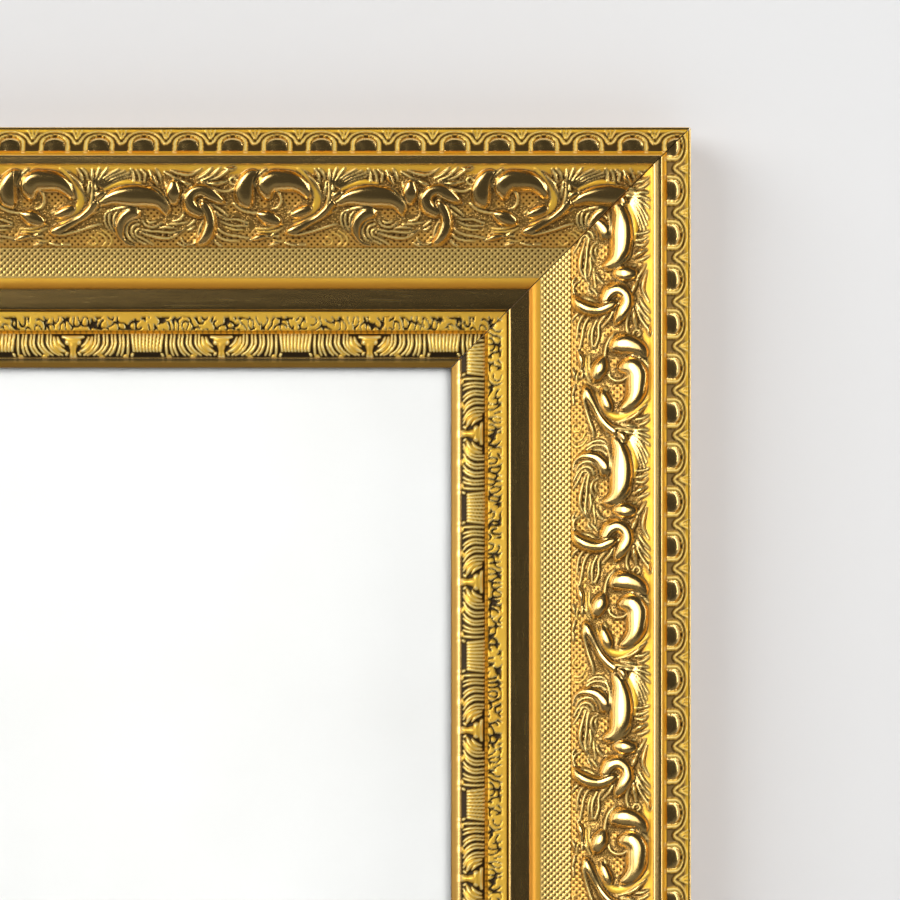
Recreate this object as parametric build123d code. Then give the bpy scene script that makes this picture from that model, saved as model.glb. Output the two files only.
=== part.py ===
# Ornate gilded picture frame, hung on a wall.
# Four mitred rails carry an applied egg-and-dart run, an applied scroll run and an inner slip.
# The slip holds the glass, the picture card and the backing board, which turn buttons keep in.
# Frame of reference: +X right, +Z up, front towards -Y, wall plane at Y = 0, origin at its centre.
# Lengths are in millimetres.
import math
import os

from build123d import *

# Picture package
picture_width = 300.0
picture_height = 400.0
picture_play = 1.5  # between the sheets' edges and the rabbet wall
glass_thickness = 2.0
card_thickness = 1.5
board_thickness = 3.0
package_play = 0.2  # shared between the front of the glass and the back of the board

# Band widths across the moulding, from the sight edge outwards
lip_band = 3.2
shell_band = 8.0
bead_groove = 1.0
worm_band = 6.8
slip_gap = 0.2  # between the slip and the rail
cove_band = 7.0
step_band = 3.6
panel_band = 10.2
scroll_band = 27.0
fillet_band = 3.0
fillet_groove = 0.8
egg_band = 7.2
rim_band = 2.0

# Heights, each measured from the band before it
rabbet_width = 6.5
lip_thickness = 2.6
lip_round = 1.0
shell_rise = 2.4
shell_foot = 0.5  # the shell band starts this far above the lip
groove_depth = 0.9
worm_rise = 0.9
slip_edge_round = 0.4
flange_width = 7.4  # part of the slip that is hidden under the rail
flange_drop = 2.8  # from the slip's outer face edge down to its flange
rail_lip_thickness = 4.4
step_rise = 3.2
panel_rise = 2.2
panel_hollow = 0.3
scroll_rise = 12.0
scroll_crown = 1.9  # bulge of the scroll run over the straight line between its edges
fillet_rise = 1.8
fillet_round = 0.5
egg_drop = 5.0  # from the fillet's top down to the inner edge of the egg run
egg_fall = 4.6
rim_drop = 0.4
rim_round = 0.9
back_chamfer = 1.0
seat_depth = 1.2  # how far the applied runs are let into the rails

# Egg-and-dart run
egg_pitch = 14.8
egg_radius = 3.3
egg_length = 1.15  # length across the run over the width along it
egg_proud = 1.9  # crown of an egg over its run
egg_root = 0.3  # how deep the eggs and darts are rooted in their run
egg_sides = 6
dart_width = 4.0
dart_length = 5.6
dart_margin = 0.6  # between a dart's head and the run's outer edge
dart_proud = 0.9
egg_start = {"top": 1.3, "right": 6.5, "bottom": 1.3, "left": 6.5}  # first egg from the rail's end

# Turn buttons
button_thickness = 1.2
button_pivot_radius = 5.0
button_tip_radius = 3.2
button_reach = 17.0  # pivot to the tip circle's centre
button_pivot = 7.5  # pivot's distance outside the rabbet wall
button_gap = 0.1  # running gap under and over a button
button_spacing_x = 170.0  # between the two buttons of the top, and of the bottom
button_spacing_z = 230.0  # between the two buttons of each side

# Screws
screw_radius = 1.75
screw_length = 8.0
screw_head_radius = 3.3
screw_head_height = 1.8
screw_clearance = 0.06  # radial, shank in any hole
round_sides = 12  # flats round a screw, and round the ring's wire

# Ring hangers
strap_width = 10.0
strap_gauge = 1.0
strap_length = 27.0  # from the ring's bar to the strap's far end
strap_screw_near = 7.0
strap_screw_far = 20.5
ring_wire_radius = 1.25
ring_clearance = 0.1
ring_bar = 18.0  # between the centres of the ring's two legs
ring_leg = 3.2
hanger_height = 140.0  # ring's bar above the frame's centre
hanger_inset = 36.0  # ring's bar from the frame's outer edge

# Wall bumpers
bumper_radius = 6.0
bumper_thickness = 5.0
bumper_taper = 0.8
bumper_inset = 15.0  # from the frame's outer edge to the bumper's centre
bumper_corner = 62.0  # from the frame's top or bottom to the bumper's centre

# Corner v-nails
nail_leg = 6.0
nail_gauge = 0.5
nail_depth = 10.0
nail_half_angle = 35.0
nail_clearance = 0.05
slip_nail_depth = 7.0
slip_nail_leg = 4.0
rail_nail_places = (10.0, 28.0)  # from the scroll run's inner edge, along the section
slip_nail_place = 5.0  # outside the rabbet wall

# Worked-out places across the section
shell_in = lip_band
shell_out = shell_in + shell_band
worm_in = shell_out + bead_groove
slip_out = worm_in + worm_band
rail_in = slip_out + slip_gap
step_in = rail_in + cove_band
panel_in = step_in + step_band
scroll_in = panel_in + panel_band
scroll_out = scroll_in + scroll_band
fillet_out = scroll_out + fillet_band
egg_in = fillet_out + fillet_groove
egg_out = egg_in + egg_band
moulding_width = egg_out + rim_band
rail_back_in = slip_out + flange_width + slip_gap

# Worked-out heights over the rails' back
package_thickness = glass_thickness + card_thickness + board_thickness
rabbet_depth = package_thickness + package_play
lip_height = rabbet_depth + lip_thickness
shell_height = lip_height + shell_rise
worm_height = shell_height + worm_rise
flange_height = worm_height - flange_drop
rail_lip_bottom = flange_height + slip_gap
cove_height = rail_lip_bottom + rail_lip_thickness
panel_low = cove_height + step_rise
panel_high = panel_low + panel_rise
scroll_high = panel_high + scroll_rise
fillet_height = scroll_high + fillet_rise
egg_high = fillet_height - egg_drop
egg_low = egg_high - egg_fall
rim_height = egg_low - rim_drop

# Worked-out overall sizes
rabbet_opening = (picture_width + 2 * picture_play, picture_height + 2 * picture_play)
sight_width = rabbet_opening[0] - 2 * rabbet_width
sight_height = rabbet_opening[1] - 2 * rabbet_width
outer_width = sight_width + 2 * moulding_width
outer_height = sight_height + 2 * moulding_width
back_y = -bumper_thickness  # the rails' back face

turn_to_side = {"top": 0, "right": 90, "bottom": 180, "left": 270}  # clockwise from the front


def half_sight(side):
    """Distance from the frame's centre to the sight edge of a side, and half that edge's length."""
    if side in ("top", "bottom"):
        return sight_height / 2, sight_width / 2
    return sight_width / 2, sight_height / 2


def to_side(piece, side):
    """Turns a piece made in the top position to its own side."""
    return Rot(0, turn_to_side[side], 0) * piece


def section_plane(side):
    """Section of a side in the top position: x runs outwards from the sight edge, y to the front."""
    return Plane(origin=(0, back_y, half_sight(side)[0]), x_dir=(0, 0, 1), z_dir=(1, 0, 0))


def back_plane(x, z):
    """Face of the rails' back at a place: x runs up, y to the frame's right, z towards the wall."""
    return Plane(origin=(x, back_y, z), x_dir=(0, 0, 1), z_dir=(0, 1, 0))


def mitre_wedge(side):
    """Space between the two mitre planes of a side in the top position."""
    across, along = half_sight(side)
    inner, outer = -across / 2, 2 * moulding_width
    face_plane = Plane(origin=(0, 0, 0), x_dir=(1, 0, 0), z_dir=(0, -1, 0))
    outline = Polyline(
        (-along - inner, across + inner),
        (along + inner, across + inner),
        (along + outer, across + outer),
        (-along - outer, across + outer),
        close=True,
    )
    depth = 2 * (fillet_height + bumper_thickness)
    return extrude(face_plane * make_face(outline), depth, both=True)


def run_length(side):
    """A bar this long reaches past both mitres of a side."""
    return 2 * (half_sight(side)[1] + moulding_width)


def mitred_bar(section, side):
    """A section carried along a side and cut at both mitres, in the top position."""
    bar = extrude(section_plane(side) * section, run_length(side) / 2, both=True)
    return bar & mitre_wedge(side)


def slip_section():
    groove = (shell_out + worm_in) / 2
    with BuildSketch() as section:
        with BuildLine():
            Line((rabbet_width, rabbet_depth), (0, rabbet_depth))
            Line((0, rabbet_depth), (0, lip_height - lip_round))
            RadiusArc((0, lip_height - lip_round), (lip_round, lip_height), lip_round)
            Polyline((lip_round, lip_height), (shell_in, lip_height), (shell_in, lip_height + shell_foot))
            ThreePointArc(
                (shell_in, lip_height + shell_foot),
                (shell_in + 0.62 * shell_band, shell_height),
                (shell_out, shell_height - shell_foot),
            )
            Polyline(
                (shell_out, shell_height - shell_foot),
                (groove, shell_height - groove_depth),
                (worm_in, shell_height),
                (slip_out - slip_edge_round, worm_height),
                (slip_out, worm_height - slip_edge_round),
                (slip_out, flange_height),
                (slip_out + flange_width, flange_height),
                (slip_out + flange_width, 0),
                (rabbet_width, 0),
                (rabbet_width, rabbet_depth),
            )
        make_face()
    return section.sketch


def rail_section():
    step_bend = ((step_in + panel_in) / 2, (cove_height + panel_low) / 2)
    panel_middle = ((panel_in + scroll_in) / 2, (panel_low + panel_high) / 2 - panel_hollow)
    with BuildSketch() as section:
        with BuildLine():
            Polyline(
                (moulding_width, back_chamfer),
                (moulding_width, rim_height - rim_round),
            )
            RadiusArc(
                (moulding_width - rim_round, rim_height), (moulding_width, rim_height - rim_round), rim_round
            )
            Polyline(
                (moulding_width - rim_round, rim_height),
                (egg_out, rim_height),
                (egg_out, egg_low - seat_depth),
                (egg_in, egg_high - seat_depth),
                (egg_in, egg_high),
                (fillet_out, egg_high),
                (fillet_out, fillet_height - fillet_round),
            )
            RadiusArc(
                (fillet_out - fillet_round, fillet_height), (fillet_out, fillet_height - fillet_round), fillet_round
            )
            Line((fillet_out - fillet_round, fillet_height), (scroll_out + fillet_round, fillet_height))
            RadiusArc(
                (scroll_out, fillet_height - fillet_round), (scroll_out + fillet_round, fillet_height), fillet_round
            )
            Polyline(
                (scroll_out, fillet_height - fillet_round),
                (scroll_out, scroll_high - seat_depth),
                (scroll_in, panel_high - seat_depth),
                (scroll_in, panel_high),
            )
            ThreePointArc((scroll_in, panel_high), panel_middle, (panel_in, panel_low))
            ThreePointArc(
                (panel_in, panel_low), (step_bend[0] - 0.5, step_bend[1] + 0.6), (step_in, cove_height)
            )
            Polyline(
                (step_in, cove_height),
                (rail_in + slip_edge_round, cove_height),
                (rail_in, cove_height - slip_edge_round),
                (rail_in, rail_lip_bottom),
                (rail_back_in, rail_lip_bottom),
                (rail_back_in, 0),
                (moulding_width - back_chamfer, 0),
                (moulding_width, back_chamfer),
            )
        make_face()
    return section.sketch


def scroll_section():
    """Crowned strip on a straight seat, flush with the panel inside and the fillet's foot outside."""
    middle = ((scroll_in + scroll_out) / 2, (panel_high + scroll_high) / 2 + scroll_crown)
    with BuildSketch() as section:
        with BuildLine():
            ThreePointArc((scroll_in, panel_high), middle, (scroll_out, scroll_high))
            Polyline(
                (scroll_out, scroll_high),
                (scroll_out, scroll_high - seat_depth),
                (scroll_in, panel_high - seat_depth),
                (scroll_in, panel_high),
            )
        make_face()
    return section.sketch


def egg_section():
    with BuildSketch() as section:
        with BuildLine():
            Polyline(
                (egg_in, egg_high),
                (egg_in, egg_high - seat_depth),
                (egg_out, egg_low - seat_depth),
                (egg_out, egg_low),
                close=True,
            )
        make_face()
    return section.sketch


def egg_run_plane(side, along):
    """On the egg run's face: x outwards across the run, y along it, z straight out of it."""
    middle = Vector((egg_in + egg_out) / 2, (egg_high + egg_low) / 2)
    across = Vector(0, egg_fall, egg_band).normalized()
    origin = section_plane(side).from_local_coords(middle) + Vector(along, 0, 0)
    return Plane(origin=origin, x_dir=across, z_dir=Vector(1, 0, 0).cross(across))


def egg():
    """Six-sided dome inside an egg-shaped outline, rooted a little below the XY plane."""
    levels = ((-egg_root, 1.0), (egg_proud * 0.6, 0.8), (egg_proud, 0.4))
    rings = []
    for height, share in levels:
        outline = RegularPolygon(egg_radius * share, egg_sides, rotation=180 / egg_sides)
        rings.append(Pos(0, 0, height) * scale(outline, (egg_length, 1, 1)))
    return loft(rings, ruled=True)


def dart():
    """Arrow-shaped leaf between two eggs, its point towards the frame's inside."""
    tip = egg_band / 2 - dart_length
    head = egg_band / 2 - dart_margin
    outline = Polyline((tip, 0), (head, dart_width / 2), (head, -dart_width / 2), close=True)
    return Pos(0, 0, -egg_root) * extrude(make_face(outline), dart_proud + egg_root)


def egg_and_dart(side):
    """Egg run of a side: domes at an even pitch with a dart between each two, cut at the mitres."""
    strip = extrude(section_plane(side) * egg_section(), run_length(side) / 2, both=True)
    first = egg_start[side] - run_length(side) / 2
    relief = []
    for number in range(int(run_length(side) // egg_pitch) + 1):
        along = first + number * egg_pitch
        relief.append(egg_run_plane(side, along) * egg())
        relief.append(egg_run_plane(side, along + egg_pitch / 2) * dart())
    return (strip + relief) & mitre_wedge(side)


def sheet(front_height, thickness):
    """One sheet of the picture package, its front this far over the rails' back."""
    middle = back_y - front_height + thickness / 2
    return Pos(0, middle, 0) * Box(picture_width, thickness, picture_height)


def pan_screw():
    """Pan-head screw on the Z axis: the shank goes down from the origin, the head stands on it."""
    shank = extrude(RegularPolygon(screw_radius, round_sides), -screw_length)
    head = extrude(RegularPolygon(screw_head_radius, round_sides), screw_head_height)
    return shank + head


def screw_hole(length):
    """Clear hole for a screw's shank that starts at the origin and goes down the Z axis."""
    return Pos(0, 0, -length / 2) * Cylinder(screw_radius + screw_clearance, length)


def button_places():
    """Side and distance along it of each turn button, two on every side."""
    places = []
    for side in turn_to_side:
        spacing = button_spacing_x if side in ("top", "bottom") else button_spacing_z
        for number, along in enumerate((-spacing / 2, spacing / 2), start=1):
            places.append((side, number, along))
    return places


def button_plane(side, along):
    """Pivot of a turn button on the slip's back, in the top position."""
    return back_plane(along, half_sight(side)[0] + rabbet_width + button_pivot)


def turn_button():
    """Flat teardrop plate that turns on the Z axis and points towards -X when it is closed."""
    with BuildSketch() as outline:
        Circle(button_pivot_radius)
        with Locations((-button_reach, 0)):
            Circle(button_tip_radius)
        make_hull()
        Circle(screw_radius + screw_clearance, mode=Mode.SUBTRACT)
    return Pos(0, 0, button_gap) * extrude(outline.sketch, button_thickness)


def hanger_strap():
    """Strip folded round the ring's bar, which lies on the Y axis, and doubled back to its two screws."""
    barrel = ring_wire_radius + ring_clearance
    bar_height = barrel + strap_gauge
    with BuildSketch(Plane.XZ) as side_view:
        with Locations((-strap_length / 2, strap_gauge)):
            Rectangle(strap_length, 2 * strap_gauge)
        with Locations((0, bar_height)):
            Circle(barrel + strap_gauge)
            Circle(barrel, mode=Mode.SUBTRACT)
    strap = extrude(side_view.sketch, strap_width / 2, both=True)
    far_corners = strap.edges().filter_by(Axis.Z).group_by(Axis.X)[0]
    strap = fillet(far_corners, strap_width / 2 - strap_gauge)
    for place in (strap_screw_near, strap_screw_far):
        strap -= Pos(-place, 0, 2 * strap_gauge) * screw_hole(3 * strap_gauge)
    return strap


def hanger_ring():
    """D-shaped wire ring with its bar on the Y axis and its bow towards +X, level with the rail's back."""
    half = ring_bar / 2
    wire = RegularPolygon(ring_wire_radius, round_sides)
    with BuildLine() as path:
        Polyline((ring_leg, -half), (0, -half), (0, half), (ring_leg, half))
    leg_end = Plane(origin=(ring_leg, half, 0), x_dir=(0, 1, 0), z_dir=(-1, 0, 0))
    straight = sweep(leg_end * wire, path=path.wire(), transition=Transition.RIGHT)
    bow = revolve(leg_end * wire, Axis((ring_leg, 0, 0), (0, 0, 1)), -180)
    return Pos(0, 0, strap_gauge + ring_clearance + ring_wire_radius) * (straight + bow)


def hanger_plane(hand):
    """Ring's bar of the left hanger (hand -1) or the right one (hand 1): x inwards, z towards the wall."""
    place = (hand * (outer_width / 2 - hanger_inset), back_y, hanger_height)
    return Plane(origin=place, x_dir=(-hand, 0, 0), z_dir=(0, 1, 0))


def bumper_places():
    across = outer_width / 2 - bumper_inset
    up = outer_height / 2 - bumper_corner
    return [(x, z) for z in (up, -up) for x in (-across, across)]


def wall_bumper():
    """Moulded rubber foot: a drum that tapers towards the wall."""
    foot = Pos(0, 0, bumper_thickness / 2) * Cone(
        bumper_radius, bumper_radius - bumper_taper, bumper_thickness
    )
    return foot


def v_nail(leg, depth, growth=0.0):
    """Chevron of sheet steel, apex at the origin, its legs either side of +X, driven down the Z axis."""
    angle = math.radians(nail_half_angle)
    along = Vector(math.cos(angle), math.sin(angle), 0)
    thick = nail_gauge / 2 + growth
    reach = leg + growth
    tip = thick / math.sin(angle)
    outer = Vector(-along.Y, along.X, 0) * thick
    upper = [along * reach + outer, along * reach - outer]
    lower = [Vector(p.X, -p.Y, 0) for p in reversed(upper)]
    outline = Polyline(Vector(-tip, 0, 0), *upper, Vector(tip, 0, 0), *lower, close=True)
    return extrude(make_face(outline), -(depth + growth))


def corner_nails(place, leg, depth, growth=0.0):
    """The same v-nail at all four corners, on the mitre this far outside the sight edge."""
    nails = []
    for hand_x in (-1, 1):
        for hand_z in (-1, 1):
            spot = back_plane(hand_x * (sight_width / 2 + place), hand_z * (sight_height / 2 + place))
            heading = math.degrees(math.atan2(hand_x, hand_z))
            nails.append(spot * Rot(0, 0, heading) * v_nail(leg, depth, growth))
    return nails


def rail_nails(growth=0.0):
    nails = []
    for place in rail_nail_places:
        nails += corner_nails(scroll_in + place, nail_leg, nail_depth, growth)
    return nails


def slip_nails(growth=0.0):
    return corner_nails(rabbet_width + slip_nail_place, slip_nail_leg, slip_nail_depth, growth)


def write(name, solids):
    """One file for each node; several like solids share a node as a group."""
    shape = solids[0] if len(solids) == 1 else Compound(children=list(solids))
    export_step(shape, f"parts/{name}.step")
    print(name, len(solids), round(sum(s.volume for s in solids)))


def main():
    os.makedirs("parts", exist_ok=True)

    button_screws = []
    for side, number, along in button_places():
        place = button_plane(side, along)
        write(f"turn_button_{side}_{number}", [to_side(place * turn_button(), side)])
        seat = Pos(0, 0, 2 * button_gap + button_thickness)
        button_screws.append(to_side(place * seat * pan_screw(), side))

    strap_screws = []
    for hand, name in ((-1, "left"), (1, "right")):
        place = hanger_plane(hand)
        write(f"hanger_strap_{name}", [place * hanger_strap()])
        write(f"hanger_ring_{name}", [place * hanger_ring()])
        for along in (strap_screw_near, strap_screw_far):
            strap_screws.append(place * Pos(-along, 0, 2 * strap_gauge) * pan_screw())

    button_holes = [
        to_side(button_plane(side, along) * screw_hole(screw_length), side)
        for side, number, along in button_places()
    ]
    strap_holes = [
        hanger_plane(hand) * Pos(-along, 0, 0) * screw_hole(screw_length)
        for hand in (-1, 1)
        for along in (strap_screw_near, strap_screw_far)
    ]

    for side in turn_to_side:
        rail = to_side(mitred_bar(rail_section(), side), side)
        write(f"rail_{side}", [rail - strap_holes - rail_nails(nail_clearance)])
        slip = to_side(mitred_bar(slip_section(), side), side)
        write(f"slip_{side}", [slip - button_holes - slip_nails(nail_clearance)])
        write(f"scroll_run_{side}", [to_side(mitred_bar(scroll_section(), side), side)])
        write(f"egg_and_dart_{side}", [to_side(egg_and_dart(side), side)])

    glass_front = rabbet_depth - package_play / 2
    write("glass", [sheet(glass_front, glass_thickness)])
    write("picture_card", [sheet(glass_front - glass_thickness, card_thickness)])
    write("backing_board", [sheet(glass_front - glass_thickness - card_thickness, board_thickness)])

    write("turn_button_screws", button_screws)
    write("hanger_screws", strap_screws)
    write("rail_v_nails", rail_nails())
    write("slip_v_nails", slip_nails())
    write("wall_bumpers", [back_plane(x, z) * wall_bumper() for x, z in bumper_places()])

    print("outer", outer_width, outer_height, "depth", fillet_height + bumper_thickness)
    print("sight", sight_width, sight_height)


if __name__ == "__main__":
    main()
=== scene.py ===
import math

import bpy
import numpy as np
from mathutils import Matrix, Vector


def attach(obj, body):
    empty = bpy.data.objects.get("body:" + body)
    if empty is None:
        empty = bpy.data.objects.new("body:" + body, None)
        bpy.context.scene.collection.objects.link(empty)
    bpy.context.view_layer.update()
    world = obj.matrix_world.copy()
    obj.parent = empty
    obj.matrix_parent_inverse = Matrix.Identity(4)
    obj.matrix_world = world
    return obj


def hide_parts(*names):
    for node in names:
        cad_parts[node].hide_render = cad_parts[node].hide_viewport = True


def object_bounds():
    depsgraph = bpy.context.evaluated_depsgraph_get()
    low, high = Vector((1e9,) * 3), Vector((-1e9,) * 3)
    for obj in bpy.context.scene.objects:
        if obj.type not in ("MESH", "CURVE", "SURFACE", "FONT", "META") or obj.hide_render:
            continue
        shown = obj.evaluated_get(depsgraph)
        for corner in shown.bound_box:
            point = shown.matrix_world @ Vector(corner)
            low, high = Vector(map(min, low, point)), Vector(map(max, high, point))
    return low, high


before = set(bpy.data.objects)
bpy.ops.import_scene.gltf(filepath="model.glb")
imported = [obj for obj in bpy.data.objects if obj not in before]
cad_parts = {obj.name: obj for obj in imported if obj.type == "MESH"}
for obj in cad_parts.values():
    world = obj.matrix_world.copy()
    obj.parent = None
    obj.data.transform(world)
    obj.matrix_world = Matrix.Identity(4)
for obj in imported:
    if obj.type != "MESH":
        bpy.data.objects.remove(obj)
cadBox = [list(corner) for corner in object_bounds()]
scene = bpy.context.scene
scene.view_settings.view_transform = "Standard"
mm = 0.001

# Zones of a section, by finish: raw wood everywhere, then the rail's, the slip's and the applied runs' own
rawSide = 0
burnishedBand, ochreEdge, mattBand, rimBand = 1, 2, 3, 4
plainBand, shellBand, wormBand, grooveBand = 1, 2, 3, 4
ornamentFace, coveFace = 1, 2

# Moulding laid out across its section: a runs outwards from the sight edge, h from the rails' back to the front
moulding = {
    "width": 80.0,
    "backY": -5.0,  # rails' back face, the bumpers keep it off the wall
    "seam": 0.2,  # half of the open mitre seam, along the run
}
sightX = cadBox[1][0] / mm - moulding["width"]
sightZ = cadBox[1][2] / mm - moulding["width"]
sideSizes = {  # centre to sight edge, half the sight edge's length
    "top": (sightZ, sightX),
    "right": (sightX, sightZ),
    "bottom": (sightZ, sightX),
    "left": (sightX, sightZ),
}


# 0 below low, 1 above high, a cubic ease between
def smooth(low, high, value):
    t = np.clip((value - low) / (high - low), 0.0, 1.0)
    return t * t * (3.0 - 2.0 * t)


# Point of a side made in the top position (x along, a across, h forward), turned clockwise to its side, in metres
def toWorld(side, x, a, h):
    out = sideSizes[side][0] + a
    y = moulding["backY"] - h
    turned = {"top": (x, y, out), "right": (out, y, -x), "bottom": (-x, y, -out), "left": (-out, y, x)}[side]
    return np.stack([np.broadcast_to(part, x.shape) for part in turned], axis=-1).reshape(-1, 3) * mm


# Closed section outline from a start point and its steps: each gives its end point, its number of points, the zone that
# starts there and, for a bend, the corner that its parabola is pulled towards
def outline(start, *steps):
    points, zones = [], []
    start = np.array(start)
    for end, count, zone, *corner in steps:
        t = np.arange(count)[:, None] / count
        end = np.array(end)
        if corner:
            points.append((1 - t) ** 2 * start + 2 * t * (1 - t) * np.array(corner[0]) + t ** 2 * end)
        else:
            points.append(start * (1 - t) + end * t)
        zones += [zone] * count
        start = end
    return {"points": np.concatenate(points), "zones": np.array(zones)}


# Mesh object from whole arrays: points, four-sided faces, and a few many-sided caps
def putMesh(name, points, quads, caps, materials, faceMaterial, values):
    mesh = bpy.data.meshes.new(name)
    corners = np.concatenate([quads.ravel()] + caps).astype(np.int32)
    sizes = np.array([4] * len(quads) + [len(cap) for cap in caps])
    starts = np.concatenate([[0], np.cumsum(sizes)[:-1]]).astype(np.int32)
    mesh.vertices.add(len(points))
    mesh.vertices.foreach_set("co", points.astype(np.float32).ravel())
    mesh.loops.add(len(corners))
    mesh.loops.foreach_set("vertex_index", corners)
    mesh.polygons.add(len(sizes))
    mesh.polygons.foreach_set("loop_start", starts)
    mesh.polygons.foreach_set("material_index", faceMaterial.astype(np.int32))
    mesh.polygons.foreach_set("use_smooth", np.ones(len(sizes), dtype=bool))
    mesh.update(calc_edges=True)
    mesh.validate()
    for key, value in values.items():
        kind, field = ("FLOAT_VECTOR", "vector") if value.ndim == 2 else ("FLOAT", "value")
        mesh.attributes.new(key, kind, "POINT").data.foreach_set(field, value.astype(np.float32).ravel())
    for material in materials:
        mesh.materials.append(material)
    piece = bpy.data.objects.new(name, mesh)
    scene.collection.objects.link(piece)
    return piece


# The first, second and fourth values carry painted light: orange and dark shade in hollows and grooves, highlights on
# crests
finishValues = ("orangeToneAndShade", "darkToneAndShade", "burnish", "paleToneAndHighlight", "stipple", "net")  # how far each holds at a point, 0 to 1


# Bar of a side: the outline carried along the run, every point's run ending on the mitre planes (or at the middle,
# where a run is made of two lengths), lifted to the front by the relief, with the two end faces closed
def mitredBar(name, side, shape, columns, materials, zoneMaterial, relief, sharp, ends=(-1.0, 1.0)):
    a = shape["points"][:, :1] + np.zeros((1, columns))
    x = np.linspace(*ends, columns)[None, :] * (sideSizes[side][1] + a - moulding["seam"])
    lift, finish = relief(side, x, a, shape["zones"][:, None] + 0 * x)
    h = shape["points"][:, 1:] + lift
    points = toWorld(side, x, a, h)
    rows = len(a)
    row, column = np.meshgrid(np.arange(rows), np.arange(columns - 1), indexing="ij")
    nextRow = (row + 1) % rows
    first, second = row * columns + column, nextRow * columns + column
    quads = np.stack([first, second, second + 1, first + 1], axis=-1).reshape(-1, 4)
    ring = np.arange(rows) * columns
    caps = [ring[::-1], ring + columns - 1]
    faceMaterial = np.repeat(np.array(zoneMaterial)[shape["zones"]], columns - 1)
    faceMaterial = np.concatenate([faceMaterial, [materials.index(rawPine)] * 2])
    grain = np.stack([x, a, h], axis=-1).reshape(-1, 3) * mm
    values = {key: np.broadcast_to(finish.get(key, 0.0), x.shape).ravel() for key in finishValues}
    values["grain"] = grain
    piece = putMesh(name, points, quads, caps, materials, faceMaterial, values)
    piece.data.set_sharp_from_angle(angle=math.radians(sharp))
    return piece


# Gaussian blur of a tile by its spectrum; sigma in tile steps, ends joined
def blurTile(tile, sigma):
    fu = np.fft.fftfreq(tile.shape[0])[:, None]
    fv = np.fft.fftfreq(tile.shape[1])[None, :]
    fall = np.exp(-2 * (math.pi * sigma) ** 2 * (fu ** 2 + fv ** 2))
    return np.real(np.fft.ifft2(np.fft.fft2(tile) * fall))


# Value of a tile between its grid points: two-way linear, repeating along the run and held at its edges across
def sampleTile(tile, size, u, v):
    fu = np.mod(u, size["period"]) / size["period"] * tile.shape[0]
    fv = np.clip((v - size["low"]) / size["step"], 0, tile.shape[1] - 1.001)
    iu, iv = np.floor(fu).astype(int), np.floor(fv).astype(int)
    du, dv = fu - iu, fv - iv
    iu = iu % tile.shape[0]
    ju = (iu + 1) % tile.shape[0]
    near = tile[iu, iv] * (1 - dv) + tile[iu, iv + 1] * dv
    far = tile[ju, iv] * (1 - dv) + tile[ju, iv + 1] * dv
    return near * (1 - du) + far * du


# Smooth line through a stroke's points: each stretch is a cubic whose end slopes come from the neighbouring points
def strokeLine(points, widths, perStretch=14):
    p = np.array(points, dtype=float)
    w = np.interp(np.linspace(0, 1, len(p)), np.linspace(0, 1, len(widths)), widths)
    q = np.column_stack([p, w])
    slope = np.gradient(q, axis=0)
    t = np.linspace(0, 1, perStretch, endpoint=False)[:, None, None]
    start, end, out, into = q[:-1], q[1:], slope[:-1], slope[1:]
    line = (2 * t ** 3 - 3 * t ** 2 + 1) * start + (t ** 3 - 2 * t ** 2 + t) * out
    line = line + (3 * t ** 2 - 2 * t ** 3) * end + (t ** 3 - t ** 2) * into
    line = np.concatenate([line.transpose(1, 0, 2).reshape(-1, 3), q[-1:]])
    line[:, 2] = np.maximum(line[:, 2], 0.12)
    return line


# Presses one stroke into the tiles: its own crest falls from the line to its half-width, round on a rib and flat-topped
# on a broad leaf, its mass fills the same patch, and it leaves its gloss where it lies on top
def pressStroke(tiles, size, share, fuller, points, widths, rise, gloss=1.0):
    crest, mass, polish = tiles
    line = strokeLine(points, widths)
    line[:, 2] *= 1.0 + (fuller - 1.0) * smooth(0.6, 1.1, line[:, 2])
    reach = line[:, 2].max() + 0.4
    count = crest.shape[0]
    stepU = size["period"] / count
    iu = np.arange(int((line[:, 0].min() - reach) / stepU) - 1, int((line[:, 0].max() + reach) / stepU) + 2)
    lowV = max(0, int((line[:, 1].min() - reach - size["low"]) / size["step"]))
    highV = min(crest.shape[1], int((line[:, 1].max() + reach - size["low"]) / size["step"]) + 2)
    iv = np.arange(lowV, highV)
    du = (iu * stepU)[:, None, None] - line[:, 0]
    dv = (iv * size["step"] + size["low"])[None, :, None] - line[:, 1]
    wide = line[:, 2] + 0.04
    t = np.sqrt(du ** 2 + dv ** 2) / wide
    taper = np.sqrt(line[:, 2] / line[:, 2].max())
    own = np.minimum(share * rise, 1.6 * wide + 0.1) * taper
    power = 2.0 + 1.3 * smooth(0.6, 1.5, wide)
    shape = np.clip(1.0 - np.minimum(t, 1.0) ** power, 0.0, 1.0) ** 0.9
    place = np.ix_(iu % count, iv)
    crest[place] = np.maximum(crest[place], (own * shape).max(axis=2))
    mass[place] = np.maximum(mass[place], (rise * taper * (t < 1.0)).max(axis=2))
    top = (own * shape).max(axis=2) >= crest[place] - 1e-9
    polish[place] = np.where(top & (t.min(axis=2) < 0.95), gloss, polish[place])


# Tiles of one repeat with all its strokes pressed in: crest height, mass and polish
def pressStrokes(size, strokes, share, fuller=1.0):
    counts = round(size["period"] / size["step"]), round((size["high"] - size["low"]) / size["step"])
    tiles = [np.zeros(counts) for _ in range(3)]
    for stroke in strokes:
        pressStroke(tiles, size, share, fuller, *stroke)
    return tiles


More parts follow.
